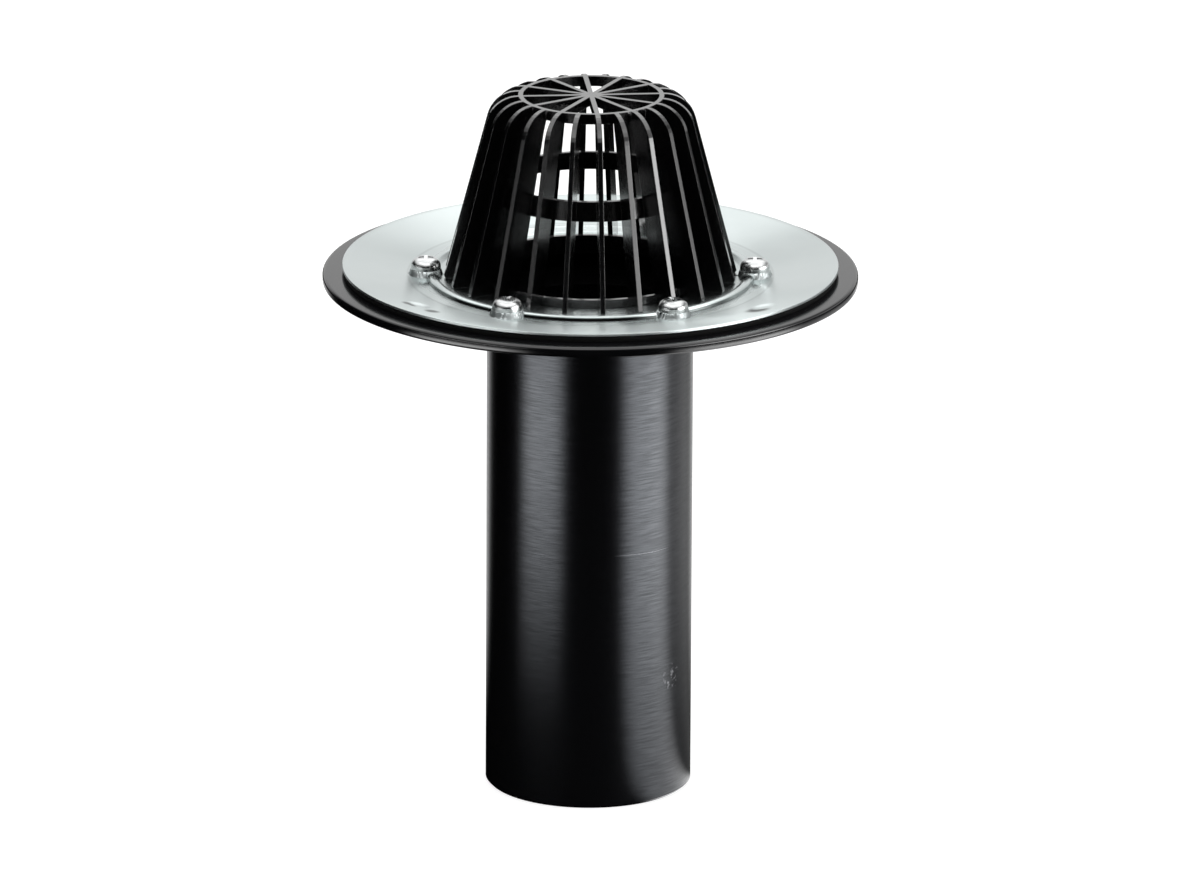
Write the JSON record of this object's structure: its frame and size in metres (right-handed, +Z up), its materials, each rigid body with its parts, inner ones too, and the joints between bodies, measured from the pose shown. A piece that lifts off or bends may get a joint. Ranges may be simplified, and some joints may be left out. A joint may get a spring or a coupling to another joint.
{
  "type": "flat roof drain",
  "caption": "Round flanged plastic roof drain on a vertical outlet pipe, with a screwed steel clamp ring over a rubber gasket and a domed finned leaf guard resting in the ring.",
  "frame": {"origin": "centre of the cut end of the outlet pipe, at the lowest point of the drain", "axes": "+Z up along the axis of the pipe, towards the leaf guard; -Y is the front, where the two pressed marks of the ring lie left and right"},
  "size_m": [0.285, 0.285, 0.3805],
  "materials": {
    "pipe_plastic": "extruded black polyethylene, semi-gloss",
    "body_plastic": "moulded black polyethylene, satin",
    "guard_plastic": "moulded black plastic, semi-gloss",
    "gasket_rubber": "matte black rubber",
    "ring_steel": "pressed stainless sheet, fine satin",
    "screw_steel": "bright stainless steel",
    "insert_brass": "turned and knurled brass"
  },
  "bodies": {
    "root": {"outlet_pipe": "pipe_plastic", "flange_body": "body_plastic", "sealing_gasket": "gasket_rubber", "clamp_ring": "ring_steel", "leaf_guard": "guard_plastic", "clamp_screw_1": "screw_steel", "clamp_screw_2": "screw_steel", "clamp_screw_3": "screw_steel", "clamp_screw_4": "screw_steel", "clamp_screw_5": "screw_steel", "clamp_screw_6": "screw_steel", "threaded_insert_1": "insert_brass", "threaded_insert_2": "insert_brass", "threaded_insert_3": "insert_brass", "threaded_insert_4": "insert_brass", "threaded_insert_5": "insert_brass", "threaded_insert_6": "insert_brass"}
  },
  "joints": []
}
